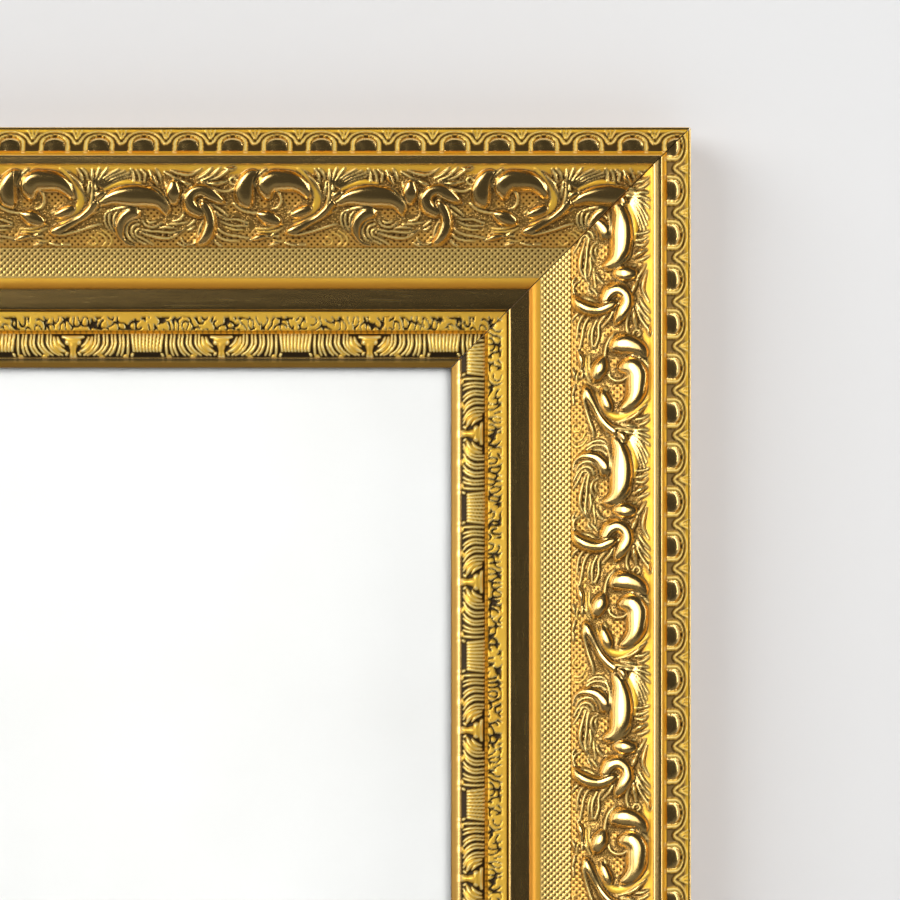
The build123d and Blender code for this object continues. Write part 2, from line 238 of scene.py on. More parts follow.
# Acanthus scroll: one repeat of the run drawn as strokes (places in u along and v outwards, half-widths, rise and,
# where it is not full, gloss)
scrollRun = {
    "period": 78.7,
    "step": 0.15,
    "low": -3.0,
    "high": 30.0,
    "base": 39.6,  # foot of the ornament across the section
    "start": {"top": 73.6, "right": -205.2, "bottom": 73.6, "left": -205.2},
    "fuller": 1.48,  # half-widths were taken on the crests, the shoulders stand outside them
    "ownShare": 0.6,  # part of a stroke's rise that is its own crest, the rest swells under its neighbours
    "swell": 0.55,
    "swellWidth": 1.5,
    "soften": 0.13,
    "dishWidth": 0.9,  # blurs that the hollows and the creases are told by
    "creaseWidth": 0.35,
    "ground": 0.3,  # ground below the straight line between the run's edges
    "dip": 0.6,
    "columnStep": 0.35,
    "rows": 88,
}
# Half-widths that several ribs share
thinRib = [0.3, 0.4, 0.3]
rib = [0.3, 0.45, 0.3]
longRib = [0.3, 0.45, 0.45, 0.3]
barb = [0.3, 0.5, 0.3]
scrollStrokes = [
    ([(7.8, 25.4), (4.4, 23.4), (2.8, 20), (2.6, 17), (3.7, 15)], [0.4, 1.5, 2.2, 2.4, 1.5], 3.0),
    ([(10, 26.2), (7.6, 24), (6.3, 21.8), (6.6, 20)], [0.35, 0.45, 0.45, 0.3], 2.2),
    ([(10, 24.8), (8, 22.8), (7.2, 20.6)], rib, 1.9, 0.625),
    ([(10.4, 17.4), (10.1, 20), (12.3, 22), (16, 21.9), (19.2, 21.6), (21.6, 20.3), (23.4, 18.2), (24.6, 16)],
     [1.3, 2.3, 2.5, 2.4, 2.2, 1.8, 1.2, 0.5], 3.4),
    ([(13.3, 19.2), (14.6, 17.4), (14.8, 15.2), (13.6, 13.4), (12, 13)], [0.5, 0.65, 0.6, 0.5, 0.3], 2.6),
    ([(10.8, 24.8), (15.5, 25.3), (19.5, 24.5), (22.3, 22.2), (24.2, 19.5), (25.3, 16.6)],
     [0.35, 0.4, 0.5, 0.55, 0.5, 0.35], 2.6),
    ([(21, 23.8), (23.6, 21.4), (25.2, 18.8), (25.9, 16.4)], longRib, 2.2),
    ([(20.7, 26), (24, 22.7), (26.3, 19), (26.9, 16), (26, 13.4), (23, 10.9), (19, 9)],
     [0.5, 0.7, 0.85, 0.95, 0.9, 0.75, 0.4], 1.2, 0.125),
    ([(31, 22), (31, 19), (30.7, 16.4), (29.8, 13.8), (28, 11.7), (25.5, 10.3), (22, 8.8), (18.6, 7.4), (16.5, 5.6)],
     [0.4, 0.6, 0.7, 0.65, 0.55, 0.5, 0.5, 0.5, 0.4], 2.6, 0.75),
    ([(22.8, 25.2), (25, 23), (27, 20.5), (28.3, 17.4), (28.6, 15.4)], [0.35, 0.7, 0.75, 0.5, 0.3], 2.3),
    ([(26.2, 26), (27.3, 24), (27.8, 21.4)], [0.3, 0.6, 0.4], 2.0),
    ([(27.8, 26), (29, 24.4), (29.6, 22.7)], [0.35, 0.5, 0.3], 1.8, 0.875),
    ([(30.1, 21.8), (29.7, 19.6), (29.4, 17)], [0.35, 0.7, 0.4], 2.3),
    ([(31.2, 25.7), (31, 23.6), (31.3, 21.4)], [0.4, 0.65, 0.4], 2.0),
    ([(32, 21.4), (32.6, 24), (33.7, 26.4)], [0.4, 0.5, 0.3], 1.9),
    ([(32.5, 21), (34, 23.5), (36.4, 26.4)], [0.4, 0.5, 0.3], 1.9),
    ([(32.3, 21.3), (32.1, 19.2), (31.9, 16.5)], [0.4, 0.55, 0.3], 2.2),
    ([(33, 20.6), (35.5, 23.4), (40, 25.9)], [0.3, 0.42, 0.3], 1.9),
    ([(33.4, 20.3), (37, 23.3), (42, 25.4)], [0.3, 0.42, 0.3], 1.9),
    ([(33.8, 20), (38, 22.7), (43.3, 24.7)], [0.3, 0.42, 0.35], 1.9),
    ([(34.4, 19.8), (38.6, 22), (43.4, 23.6)], [0.3, 0.42, 0.35], 1.9),
    ([(35, 19.2), (38.5, 20.8), (42.5, 21.7), (47, 21.3)], [0.5, 0.7, 0.8, 0.4], 1.2, 0.0625),
    ([(31.6, 14.8), (32.7, 17), (34.4, 18), (35.9, 17.8)], [0.4, 0.9, 0.9, 0.4], 2.6),
    ([(16.6, 5.2), (19, 5.9), (22, 7.4), (26, 9.4), (29.3, 11.8), (31.6, 14.4)],
     [0.7, 1.3, 1.05, 0.9, 1.1, 1.1], 2.6),
    ([(33.4, 12.8), (30.5, 11.2), (27, 9.6), (23.5, 8.2)], longRib, 2.0),
    ([(17.2, 4.7), (20, 4.6), (24, 5.3), (28, 6.5), (31.5, 7.7), (33.5, 8)], [0.6, 0.75, 0.65, 0.65, 0.65, 0.4], 2.4),
    ([(32.4, 13.4), (36.8, 16.2), (41.2, 17.1), (45.7, 17.1), (49.5, 16.7), (52.9, 15.4), (54.8, 12.9), (55.5, 10)],
     [0.3, 1.5, 2.3, 2.6, 2.5, 1.8, 1.2, 0.4], 3.4),
    ([(31.7, 13.4), (34.3, 16), (37.4, 18.2), (41, 19.8), (45.5, 20.5), (49.5, 20.1)],
     [0.35, 0.45, 0.5, 0.5, 0.5, 0.4], 2.8, 0.875),
    ([(36, 12.2), (40, 13.2), (44, 13.2), (46.6, 12.1)], [0.3, 0.5, 0.55, 0.4], 2.2),
    ([(49.5, 20.3), (52.7, 19.2), (55, 16.4), (56.4, 13.2), (56.2, 11.6)], [0.35, 0.5, 0.55, 0.55, 0.3], 2.5, 0.875),
    ([(36.2, 12.4), (34.9, 10.9), (34.9, 8.4), (36.2, 6)], [0.3, 0.42, 0.42, 0.3], 1.7),
    ([(37.6, 12.6), (36.3, 11), (36.4, 7.8), (38.4, 4.6)], longRib, 1.8),
    ([(39.2, 12.2), (37.9, 10.4), (37.9, 7.4), (39.2, 4.6)], longRib, 1.9),
    ([(46, 11), (43.5, 11.2), (41, 9.6), (39.8, 7), (39.9, 4.2), (41.5, 2), (44.5, 1)],
     [0.8, 1.5, 1.45, 1.2, 0.9, 0.6, 0.35], 2.7),
    ([(46, 9.3), (43.7, 8.9), (42.1, 7.1), (41.9, 5), (43, 3.1), (45, 2.1)], [0.4, 0.55, 0.55, 0.5, 0.45, 0.3], 2.2),
    ([(45.9, 8), (44.3, 7.3), (43.5, 5.7), (44, 4), (45.4, 3)], [0.4, 0.45, 0.45, 0.4, 0.3], 2.0, 0.875),
    ([(46.2, 6.6), (45.1, 5.7), (45.1, 4.4), (46.4, 3.6)], [0.35], 1.7, 0.75),
    ([(46.3, 6.4), (49.5, 5.8), (53.5, 5.5), (57, 5.2), (60, 6)], [0.3, 0.45, 0.45, 0.4, 0.3], 1.9, 0.875),
    ([(46.3, 5.4), (50, 4.2), (54, 3.4), (57.5, 3.9), (61.4, 6.7)], [0.35, 0.6, 0.7, 0.55, 0.35], 2.2),
    ([(46, 3.9), (48.5, 2.6), (50.8, 1.2)], thinRib, 1.6, 0.875),
    ([(45.6, 2.6), (48, 1.5)], [0.35, 0.4], 1.4, 0.875),
    ([(47.4, 9.2), (48.4, 7.7), (51, 7.1), (53.6, 8.4)], [0.35, 0.5, 0.55, 0.3], 2.0),
    ([(48.8, 9), (50, 8.5), (51.6, 9)], thinRib, 1.5, 0.625),
    ([(52.6, 6.8), (55.6, 7.1), (58.5, 6.6)], [0.3, 0.55, 0.3], 2.0),
    ([(55.4, 8), (59, 8.2), (62.2, 8.6)], thinRib, 1.7, 0.75),
    ([(57.9, 20.6), (57.9, 18.2), (57.9, 15.8)], [1.3, 1.9, 1.2], 2.9),
    ([(55.3, 21.7), (55.6, 18.6)], barb, 1.8, 0.875),
    ([(60.2, 22.4), (62.4, 21.2), (64.8, 20.5)], [0.4, 0.8, 0.4], 2.3),
    ([(44, 26), (44.6, 24), (44.8, 22)], [0.35, 0.5, 0.5], 1.9),
    ([(45.8, 25.6), (46.6, 24), (46.9, 22)], [0.3, 0.45, 0.4], 1.8, 0.875),
    ([(47.3, 25.6), (48.5, 24.2), (48.4, 22)], [0.35, 0.65, 0.5], 2.0),
    ([(50.2, 25.2), (51, 23.2), (52.4, 21.2)], [0.5, 0.85, 0.6], 2.3),
    ([(52.2, 26), (53.2, 24), (53.8, 22.4)], barb, 1.9),
    ([(54.9, 25), (57, 23.8), (59.8, 22.2)], [0.35, 0.6, 0.35], 2.1),
    ([(57, 25.4), (60.5, 24.3), (63.6, 24.1), (67.5, 26)], [0.3, 0.65, 0.6, 0.3], 2.2),
    ([(65.8, 22.8), (68.6, 24.3), (71, 26.4)], barb, 2.0),
    ([(67.2, 22.2), (70.6, 23.7), (73.8, 26.5)], barb, 2.0),
    ([(68, 21.8), (72.2, 23), (75.4, 25), (78, 27)], [0.3, 0.5, 0.55, 0.35], 2.1),
    ([(75.2, 26.2), (77.2, 25.8), (78.8, 26.4)], thinRib, 1.8),
    ([(68.8, 21.3), (72, 21.2), (75.6, 21.9)], [0.35, 0.8, 0.6], 2.4),
    ([(78.8, 22.4), (77.9, 23.3), (76.8, 22.6), (76.9, 21.4), (78, 20.9)], [0.35], 1.9, 0.75),
    ([(67.4, 21.4), (70.4, 19.9), (73.4, 18.9), (76, 18.8), (78.4, 19.8)], [0.4, 0.5, 0.5, 0.5, 0.3], 2.4, 0.75),
    ([(61, 11.8), (60.9, 15), (61.3, 17.5), (62.8, 19), (64.8, 20.2), (66.2, 21.6)],
     [0.3, 0.45, 0.5, 0.5, 0.5, 0.4], 2.5, 0.875),
    ([(75.5, 14.7), (72.8, 16.1), (70, 17.7), (67.2, 19), (64.5, 18.2), (63.1, 15.8), (63.8, 13.2), (66.2, 11.6)],
     [0.4, 1.2, 1.65, 1.5, 1.5, 1.6, 1.7, 1.3], 3.3),
    ([(67, 15.4), (68.9, 12.6), (70, 9.3), (69.5, 6), (67.8, 2.9), (65.2, 1.2)],
     [0.7, 1.35, 1.5, 1.7, 1.4, 0.6], 3.6),
    ([(66.4, 17.4), (67.6, 16.2), (69.8, 13.2), (71.3, 11)], longRib, 3.2, 0.875),
    ([(63.9, 16.4), (65.9, 14.5), (67.8, 12.6)], thinRib, 3.0, 0.75),
    ([(67.9, 9.6), (66.2, 6.6), (65.5, 3.6)], thinRib, 2.2, 0.75),
    ([(70.4, 14.4), (73, 13), (75.6, 10.8)], [0.3, 0.55, 0.35], 2.2),
    ([(71, 12.8), (72.6, 11.2), (74.4, 10.2)], rib, 1.9, 0.875),
    ([(72, 11), (75, 9.7), (78.7, 9.6), (82.2, 8.4)], [0.3, 0.45, 0.5, 0.5], 2.0),
    ([(73.4, 9), (76, 7.8), (79, 7.4), (82.2, 7.6)], [0.3, 0.45, 0.5, 0.45], 1.9),
    ([(75, 7), (78, 6.2), (80.4, 6.2)], thinRib, 1.4, 0.5),
    ([(71.3, 8), (73, 5.9), (75.8, 4.6), (79, 4.1), (82.6, 3.4)], [0.3, 0.45, 0.5, 0.5, 0.4], 2.0, 0.875),
    ([(70.9, 5.6), (72.6, 3.8), (75.2, 2.8), (79.4, 2.4)], longRib, 1.7, 0.75),
    ([(70.8, 3.1), (72, 1.6), (73.6, 0.6)], [0.3, 0.5, 0.4], 1.6),
    ([(57.4, 9), (59.5, 9.5), (61, 11)], [0.3, 0.6, 0.4], 2.0),
    ([(62.3, 7.2), (63.5, 8.2), (64.7, 9.1)], [0.3, 0.5, 0.4], 1.9),
    ([(62.2, 6), (63.4, 6.4), (64.6, 7.3)], rib, 1.7),
    ([(60.1, 3.5), (61, 1.9), (63, 1.2), (65, 2.1)], [0.3, 0.42, 0.45, 0.3], 1.8),
    ([(58.8, 1.9), (60.6, 0.9), (63.4, 0.4), (66, 0.9)], longRib, 1.5, 0.875),
    ([(-1, 14.7), (1, 13), (4, 11.9), (8, 11.6), (12.5, 12)], [0.4, 0.55, 0.6, 0.55, 0.35], 2.4, 0.875),
    ([(8.2, 10.8), (10.6, 9.9), (13.2, 8.9)], [1.2, 1.9, 1.4], 2.8),
    ([(17.6, 10.5), (20.4, 11.5), (23, 12.5), (24.8, 13.3)], [0.6, 1.2, 1.3, 0.7], 2.4),
    ([(17.2, 11.6), (18, 12.2)], [0.5], 1.5, 0.625),
    ([(6.3, 6.6), (11, 6.6), (15.2, 8)], thinRib, 1.2, 0.25),
    ([(7, 5.5), (11, 5.6), (14, 6.2)], [0.25, 0.35, 0.25], 1.1, 0.25),
    ([(4, 2.5), (6.5, 3.5), (9, 4), (11.6, 3.8)], [0.35, 0.85, 0.8, 0.35], 2.2),
    ([(11, 3.8), (12.8, 5.4), (15.2, 6.8)], thinRib, 1.6, 0.75),
    ([(12.2, 4.3), (13.6, 4.1)], [0.55], 1.5),
    ([(10.8, 0.8), (12.3, 1.5), (13.8, 1.8)], [0.4, 0.7, 0.35], 1.7),
    ([(12, 2.8), (14, 2.4), (15.6, 2.5)], [0.25, 0.35, 0.25], 1.3, 0.5),
    ([(16, 1.8), (18, 1.3), (20.2, 0.8)], [0.35, 0.55, 0.35], 1.7),
    ([(20.4, 1.2), (22.6, 1.3)], [0.5], 1.2),
    ([(28.9, 2.1), (30, 1.1), (31.7, 1.7), (31.6, 3.2), (30, 3.9)], [0.25], 0.8, 0.375),
    ([(32, 5.2), (34.2, 4.2), (35, 2.3), (33.6, 0.7)], [0.25, 0.32, 0.3, 0.25], 0.9, 0.375),
    ([(34, 5.9), (36.2, 4.2), (36.8, 2.2), (35.5, 0.5)], [0.25, 0.32, 0.3, 0.25], 0.9, 0.375),
]
# Woven hollows inside the curls: place and radius
scrollEyes = [(18.7, 16.6, 3.2), (50.9, 12.4, 3.0), (9, 15, 1.8), (62.8, 4.2, 1.8), (58.6, 12.5, 1.6), (77, 13, 1.8)]


# Scroll relief tiles: the strokes' crests over a blurred swell of their masses, softened once, how far that is below
# its own broad and narrow blurs, the strokes' polish, and the bare ground told apart into stippled and woven
def carveScroll():
    size = scrollRun
    crest, mass, polish = pressStrokes(size, scrollStrokes, size["ownShare"], size["fuller"])
    height = crest + size["swell"] * blurTile(mass, size["swellWidth"] / size["step"])
    height = blurTile(height, size["soften"] / size["step"])
    dished, crease = (blurTile(height, size[key] / size["step"]) - height for key in ("dishWidth", "creaseWidth"))
    u = (np.arange(len(crest)) * size["period"] / len(crest))[:, None]
    v = (np.arange(crest.shape[1]) * size["step"] + size["low"])[None, :]
    woven = smooth(7.0, 4.5, v) + 0 * u
    for eyeU, eyeV, radius in scrollEyes:
        woven = np.maximum(woven, smooth(radius, radius - 0.5, np.hypot(u - eyeU, v - eyeV)))
    bare = (1.0 - smooth(0.02, 0.25, crest)) * smooth(24.8, 23.6, v)
    polish = blurTile(polish, 0.12 / size["step"])
    return height, dished, crease, polish, bare * (1.0 - woven), bare * woven


scrollTiles = carveScroll()
print("scroll repeat carved:", len(scrollStrokes), "strokes, highest", round(float(scrollTiles[0].max()), 2), "mm")


# Lift of the scroll run at a place of its side, with how burnished it is there and where light is painted: orange shade
# in the hollows (with an orange tone on the stippled and woven ground), dark shade in the creases and the deepest
# hollows, and highlights on the crests and faintly along the plain cove under the fillet
def scrollRelief(side, x, a, zone):
    u = x - scrollRun["start"][side]
    v = a - scrollRun["base"]
    face = zone == ornamentFace
    height, dished, crease, polish, stipple, net = (sampleTile(tile, scrollRun, u, v) for tile in scrollTiles)
    stipple, net = stipple * face, net * face
    edge = smooth(-0.1, 1.2, v) * smooth(27.1, 26.0, v)
    # painted highlight on the crests, and a faint one along the cove under the fillet
    paleToneAndHighlight = np.maximum(smooth(0.12, 0.24, -crease), 0.08 * smooth(24.2, 25.2, v)) * face
    # creases, where dark shade is painted
    gap = smooth(0.03, 0.15, crease) * face
    return height * edge * face, {
        "orangeToneAndShade": np.maximum(smooth(-0.05, 0.4, dished) * face, 0.45 * stipple + 0.9 * net),
        "darkToneAndShade": np.maximum(0.45 * smooth(0.25, 0.75, dished) * face, 0.6 * gap),
        "paleToneAndHighlight": 0.65 * paleToneAndHighlight,
        "burnish": np.maximum.reduce([polish * face * (1.0 - 0.6 * paleToneAndHighlight), 0.35 * net + 0.6 * stipple, 0.8 * gap]),
        "stipple": stipple,
        "net": net,
    }


# Egg-and-dart: each unit is a half dome inside a raised arch and a thin outer arch, with a cup and a dart between units
eggRun = {
    "pitch": 14.8,
    "start": {"top": 1.3, "right": 6.5, "bottom": 1.3, "left": 6.5},
    "centre": 74.3,  # height of the arches' springing line across the run
    "flat": 1.5,  # the arches are wider than tall
    "domeRadius": 3.75,
    "domeRise": 1.5,
    "domeLean": 0.34,  # the domes face the front more than the slope they stand on
    "archRadius": 4.4,
    "archRise": 1.2,
    "outerRadius": 6.3,
    "outerRise": 0.8,
    "columnStep": 0.37,
}


# Rounded ridge: a parabola across a line, zero at its half-width
def ridge(distance, halfWidth, rise):
    return rise * np.clip(1.0 - (distance / halfWidth) ** 2, 0.0, 1.0)


# Distance to a straight line between two points
def lineDistance(px, pa, start, end):
    start, end = np.array(start, dtype=float), np.array(end, dtype=float)
    step = end - start
    t = np.clip(((px - start[0]) * step[0] + (pa - start[1]) * step[1]) / (step @ step), 0.0, 1.0)
    return np.hypot(px - start[0] - t * step[0], pa - start[1] - t * step[1])


# Lift of the egg run: the highest of its dome, arches, cup and dart lines, with painted shade in the pockets between
# them and painted highlights on their crests
def eggRelief(side, x, a, zone):
    size = eggRun
    face = zone == ornamentFace
    along = x + (sideSizes[side][1] + moulding["width"]) - size["start"][side]
    p = np.mod(along + size["pitch"] / 2, size["pitch"]) - size["pitch"] / 2
    q = np.abs(np.abs(p) - size["pitch"] / 2)  # distance from the middle between two eggs
    radius = np.hypot(p, size["flat"] * np.maximum(a - size["centre"], 0.0))
    dome = size["domeRise"] * np.clip(1.0 - (radius / size["domeRadius"]) ** 2, 0.0, 1.0) ** 0.65
    dome = dome + size["domeLean"] * (a - size["centre"]) * smooth(size["domeRadius"], 1.5, radius)
    leg = (p / np.maximum(radius, 0.1)) ** 2  # 0 over the dome, 1 beside it
    arch = ridge(radius - size["archRadius"], 0.5 + 0.25 * leg, size["archRise"])
    outer = ridge(radius - size["outerRadius"], 0.55, size["outerRise"]) * smooth(74.4, 75.0, a)
    cup = ridge(np.hypot(q, a - 75.2) - 0.95, 0.5, 1.0) * smooth(75.8, 75.0, a)
    leaf = ridge(lineDistance(q, a, (1.7, 79.2), (0.25, 76.2)), 0.4, 0.75)
    vein = ridge(lineDistance(q, a, (0.0, 79.2), (0.0, 76.3)), 0.4, 0.7)
    rim = 0.45 * smooth(78.3, 79.0, a)
    lift = np.maximum.reduce([dome, arch, outer, cup, leaf, vein, rim]) * face
    legs = smooth(0.75, 0.5, np.abs(np.abs(p) - size["archRadius"]))  # where the arches run up into the cove
    # pockets between the domes, arches and darts, where dark and orange shade are painted
    low = smooth(0.35, 0.05, lift) * smooth(78.6, 77.6, a) * face
    line = np.maximum.reduce([outer, cup, leaf, vein, arch - 0.3])
    glossy = smooth(size["domeRadius"] + 0.1, size["domeRadius"] - 0.25, radius) * face
    return lift, {
        # painted orange shade on the cove at the fillet's foot and in the pockets; painted dark shade in the pockets
        # over an even darker tone
        "orangeToneAndShade": 0.6 * (zone == coveFace) + 0.8 * low,
        "darkToneAndShade": np.maximum(0.85 * low, 0.13 * face),
        "burnish": np.maximum(glossy, 0.5 * low),
        # painted highlights along the crests of the arches, cup, leaf and vein, and pale bars painted where the arches'
        # legs cross the cove
        "paleToneAndHighlight": 0.6 * smooth(0.5, 0.8, line) * face + 0.5 * (zone == coveFace) * legs,
    }


# Inner slip: shell band drawn as strokes about its cartouche, vermicular band from filtered noise
slipRun = {
    "period": 49.8,
    "step": 0.12,
    "low": 1.5,
    "high": 13.5,
    "start": {"top": 117.67, "right": -172.8, "bottom": 117.67, "left": -172.8},
    "shellRise": 1.6,
    "ownShare": 0.75,
    "wormPeriod": 149.4,
    "wormStep": 0.15,
    "wormLow": 12.0,
    "wormWidth": 7.2,
    "wormWave": 3.0,  # length of the noise along the run, two ridges each
    "wormRise": 0.85,
    "dotPitch": 2.05,  # dots along the orange groove
    "columnStep": 0.33,
}
shellRibs = [  # from the cartouche outwards in pairs: place at the band's top, at mid-height and at its foot
    (7.5, 7.3, 3.6), (8.6, 8.5, 4.8), (10.3, 10.3, 6.9), (11.4, 11.5, 8.4),
    (13.0, 13.2, 10.8), (14.1, 14.3, 12.3), (15.7, 15.9, 14.7), (16.8, 17.0, 16.2), (18.4, 18.5, 18.3),
]


# Shell relief tile: cartouche, ribs bowed round it, striated block at the half repeat, all as pressed strokes, with
# the grooves between them, where dark shade is painted, and their crests, where highlights are painted
def carveShell():
    size = slipRun
    half = size["period"] / 2
    strokes = [
        ([(-3.3, 10.3), (0, 9.8), (3.3, 10.3)], [0.6, 1.0, 0.6], 1.7),
        ([(-1.7, 8.5), (1.7, 8.5)], [1.1], 1.7),
        ([(0, 7.6), (0, 5.6), (0, 3.8)], [1.5, 1.0, 1.3], 1.7),
        ([(-half, 3.2), (half, 3.2)], [0.3], 0.9),
    ]
    oneHand = [
        ([(top, 11.0), (middle, 7.9), (0.6 * middle + 0.4 * foot, 5.6), (foot, 4.2)], [0.4, 0.5, 0.5, 0.4], 1.5)
        for top, middle, foot in shellRibs
    ]
    oneHand += [([(place, 3.4), (place, 4.2)], [1.1, 0.4], 1.1) for place in (9.6, 17.6)]
    oneHand += [
        ([(6.4, 10.2), (5.8, 7.9), (4.5, 6.3), (2.6, 5.4)], [0.5, 0.9, 1.0, 0.5], 1.6),
        ([(5.2, 10.2), (4.4, 8.3), (2.9, 7.0)], [0.4, 0.6, 0.35], 1.3),
        ([(1.9, 4.9), (2.3, 4.4)], [0.5], 1.4),
        ([(half + 4.9, 4.5), (half + 5.2, 4.0)], [0.5], 1.3),
    ]
    for hand in (-1, 1):
        strokes += [([(hand * u, v) for u, v in line], *rest) for line, *rest in oneHand]
    strokes += [([(half + 1.25 * k, 11.0), (half + 1.1 * k, 5.7)], [0.55, 0.56], 1.5) for k in range(-4, 5)]
    crest, mass, _ = pressStrokes(size, strokes, size["ownShare"])
    height = crest + 0.25 * blurTile(mass, 1.0 / size["step"])
    height = blurTile(height, 0.11 / size["step"])
    # grooves between the strokes, painted dark as shade
    groove = smooth(0.5, 0.2, blurTile(crest, 0.1 / size["step"]))
    # crests, where a highlight is painted
    paleToneAndHighlight = smooth(0.09, 0.22, height - blurTile(height, 0.4 / size["step"]))
    return height * size["shellRise"] / height.max(), groove, paleToneAndHighlight


# Vermicular tile: noise kept to one band of wavelengths, grooves where it crosses zero, broken by a slower noise
def carveWorm():
    size = slipRun
    step, spare = size["wormStep"], 40  # spare rows keep the noise from joining up across the band
    countU, countV = round(size["wormPeriod"] / step), round(size["wormWidth"] / step)
    fu = np.fft.fftfreq(countU, step)[:, None]
    fv = np.fft.fftfreq(countV + spare, step)[None, :]
    waves = []
    for seed, wave in ((5, size["wormWave"]), (6, 1.5 * size["wormWave"])):
        band = np.exp(-((np.hypot(fu, 1.3 * fv) * wave - 1.0) / 0.25) ** 2)
        noise = np.fft.fft2(np.random.default_rng(seed).standard_normal((countU, countV + spare)))
        noise = np.real(np.fft.ifft2(noise * band))[:, :countV]
        waves.append(noise / noise.std())
    a = size["wormLow"] + np.arange(countV)[None, :] * step
    shallow = np.maximum(smooth(16.4, 17.4, a), smooth(0.6, 1.2, waves[1]))
    ridges = np.maximum(smooth(0.28, 0.68, np.abs(waves[0])), shallow) * smooth(12.0, 12.7, a)
    # the side of each ridge that falls along the run, where a highlight is painted
    lit = smooth(0.02, 0.1, -np.gradient(ridges, axis=0)) * smooth(12.5, 13.0, a)
    # grooves between the ridges, painted dark as shade
    return ridges, smooth(0.7, 0.35, ridges) * smooth(12.3, 12.8, a), lit


shellHeight, shellGroove, shellCrestHighlight = carveShell()
wormHeight, wormGrooveShade, wormLitSide = carveWorm()
wormTile = {"period": slipRun["wormPeriod"], "step": slipRun["wormStep"], "low": slipRun["wormLow"]}
print("slip bands carved")


# Lift of the slip: shell tile on its band, vermicular tile on its own, nothing elsewhere; painted dark shade in the
# grooves, painted highlights on the shell's crests and on one side of the worm's ridges
def slipRelief(side, x, a, zone):
    u = x - slipRun["start"][side]
    shell, worm, furrow = zone == shellBand, zone == wormBand, zone == grooveBand
    lift = sampleTile(shellHeight, slipRun, u, a) * smooth(3.1, 3.7, a) * smooth(11.5, 10.7, a) * shell
    lift = lift + slipRun["wormRise"] * (sampleTile(wormHeight, wormTile, u, a) - 0.6) * worm
    groove = sampleTile(shellGroove, slipRun, u, a) * shell * smooth(3.0, 3.6, a)
    dots = smooth(0.2, 0.9, np.cos(2 * math.pi * x / slipRun["dotPitch"])) * furrow
    lit = sampleTile(wormLitSide, wormTile, u, a) * worm
    foot = (zone == plainBand) * (a < 3.5) * smooth(1.9, 2.4, a)  # burnished line at the shells' foot
    lip = (zone == plainBand) * (1.0 - foot)
    # painted dark shade in the shell's and the worm's grooves and in the gaps along the shells' foot, dark dots along
    # the orange groove, an even darker tone over both bands, and the lip painted darker
    darkToneAndShade = 0.95 * groove + sampleTile(wormGrooveShade, wormTile, u, a) * worm + 0.13 * worm + 0.05 * shell
    darkToneAndShade = darkToneAndShade + 0.5 * foot * sampleTile(shellGroove, slipRun, u, 0 * a + 3.9) + 0.68 * lip + 0.5 * dots
    return lift, {
        # orange tone on the groove line and the lip, and painted orange shade in the shell's grooves
        "orangeToneAndShade": np.clip(0.5 * groove + 1.0 * furrow + 0.7 * lip, 0, 1),
        "darkToneAndShade": np.clip(darkToneAndShade, 0, 1),
        "burnish": 0.15 * (zone == plainBand) + 0.15 * shell + 0.12 * worm + 0.4 * lit + 0.85 * foot,
        # painted highlights on the shell's crests and on one side of the worm's ridges
        "paleToneAndHighlight": 0.85 * sampleTile(shellCrestHighlight, slipRun, u, a) * shell + 1.0 * lit,
    }


# The woven panel is flat gold with the net all over it, its holes painted dark as shade, and an even paler tone all
# over
def panelFinish(side, x, a, zone):
    return 0 * x, {"burnish": 0.55, "paleToneAndHighlight": 0.25, "net": 1.0 * (zone == ornamentFace)}


# The rail has no relief of its own: its zones only differ in finish, with painted dark shade on the cove inside the
# step and on the rounded inner edge, and painted orange shade on the step, deeper towards its foot
def railFinish(side, x, a, zone):
    burnished, matt = zone == burnishedBand, zone == mattBand
    step = matt * (a < 35.0)
    return 0 * x, {
        # painted orange shade on the step, deeper towards its foot, and an orange tone on the matt bands by the fillet
        "orangeToneAndShade": step * (0.35 + 0.65 * smooth(29.4, 27.6, a)) + 0.5 * matt * (a > 35.0),
        # painted dark shade on the cove and the rounded inner edge, and a little on the step
        "darkToneAndShade": burnished * (0.3 * (a < 27.0) + 0.2 * (a < 20.5)) + 0.12 * step,
        "burnish": 1.0 * burnished + 0.1 * matt + 1.0 * (zone == rimBand),
    }


# New material with its node tree and its shader
def newMaterial(name):
    material = bpy.data.materials.new(name)
    material.use_nodes = True
    tree = material.node_tree
    return material, tree, tree.nodes["Principled BSDF"]


# Inputs of a node: sockets are linked, anything else is set as the value
def setInputs(tree, node, inputs):
    for key, value in inputs.items():
        if isinstance(value, bpy.types.NodeSocket):
            tree.links.new(value, node.inputs[key])
        else:
            node.inputs[key].default_value = value


# New node with its settings and inputs
def addNode(tree, kind, inputs=None, **settings):
    node = tree.nodes.new("ShaderNode" + kind)
    for key, value in settings.items():
        setattr(node, key, value)
    setInputs(tree, node, inputs or {})
    return node


# Sum, product or another operation on values
def mathNode(tree, operation, *values, clamp=False):
    return addNode(tree, "Math", dict(enumerate(values)), operation=operation, use_clamp=clamp).outputs[0]


# Product of two values
def times(tree, first, second):
    return mathNode(tree, "MULTIPLY", first, second)


# Value carried from one range to another in proportion, held at its ends
def mapRange(tree, value, low, high, toLow=0.0, toHigh=1.0):
    inputs = {"Value": value, "From Min": low, "From Max": high, "To Min": toLow, "To Max": toHigh}
    return addNode(tree, "MapRange", inputs).outputs["Result"]


# Colour read off a row of stops
def rampNode(tree, value, *stops):
    ramp = addNode(tree, "ValToRGB", {"Fac": value})
    for element, (place, colour) in zip(ramp.color_ramp.elements, stops):
        element.position = place
        element.color = (*colour, 1.0)
    return ramp.outputs["Color"]


